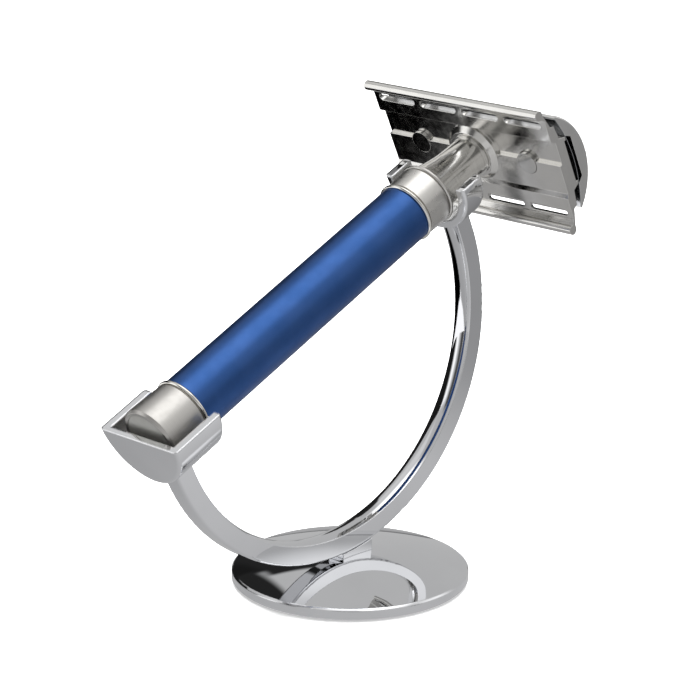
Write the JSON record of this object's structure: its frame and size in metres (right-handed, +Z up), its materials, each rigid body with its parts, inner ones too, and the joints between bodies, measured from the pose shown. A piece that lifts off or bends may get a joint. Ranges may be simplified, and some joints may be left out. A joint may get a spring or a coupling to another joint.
{
  "type": "safety razor on a stand",
  "caption": "Double-edge safety razor with a slim blue handle, resting aslant on a chromed round-arm stand.",
  "frame": {"origin": "middle of the stand's round foot, at the underside of its pad, on the table", "axes": "+Z up; the stand's arm lies in the XZ plane and the handle rises towards +X; +Y along the length of the razor's head"},
  "size_m": [0.0922, 0.0444, 0.0882],
  "materials": {
    "chrome": "mirror-bright chrome plate",
    "bright_steel": "bright satin plated metal",
    "satin_steel": "fine satin turned finish",
    "blue_anodised": "satin blue anodised",
    "blade_steel": "ground and stropped",
    "core_brass": "turned",
    "seal_rubber": "matt black",
    "pad_rubber": "matt black, fine texture",
    "screw_steel": "zinc plated"
  },
  "bodies": {
    "stand": {"base_disc": "chrome", "base_pad": "pad_rubber", "base_screw": "screw_steel", "pedestal": "chrome", "arc_arm": "chrome", "cradle": "chrome", "saddle": "chrome"},
    "handle": {"neck": "bright_steel", "upper_collar": "satin_steel", "collar_bead_ring": "bright_steel", "grip_sleeve": "blue_anodised", "handle_core": "core_brass", "upper_seal_ring": "seal_rubber", "lower_seal_ring": "seal_rubber", "lower_bead_ring": "bright_steel", "end_cap": "satin_steel", "end_disc": "satin_steel"},
    "plate": {"base_plate": "bright_steel"},
    "blade": {"blade": "blade_steel"},
    "cap": {"cap": "bright_steel", "cap_stud": "bright_steel", "cap_pin_near": "bright_steel", "cap_pin_far": "bright_steel"}
  },
  "joints": [
    {"name": "razor_lift", "type": "slide", "parent": "stand", "child": "handle", "axis": [-0.4226, 0, 0.9063], "range_m": [0, 0.04]},
    {"name": "head_turn", "type": "hinge", "parent": "handle", "child": "plate", "pos_m": [0, 0, 0.06135], "axis": [0.9063, 0, 0.4226], "range_deg": [0, 1080]},
    {"name": "cap_lift", "type": "slide", "parent": "plate", "child": "cap", "axis": [0.9063, 0, 0.4226], "range_m": [0, 0.0024]},
    {"name": "blade_lift", "type": "slide", "parent": "plate", "child": "blade", "axis": [0.9063, 0, 0.4226], "range_m": [0, 0.0012]}
  ],
  "couplings": [
    {"joint": "cap_lift", "follows": "head_turn", "m_per_rad": 0.00012732},
    {"joint": "blade_lift", "follows": "head_turn", "m_per_rad": 0.000063662}
  ]
}
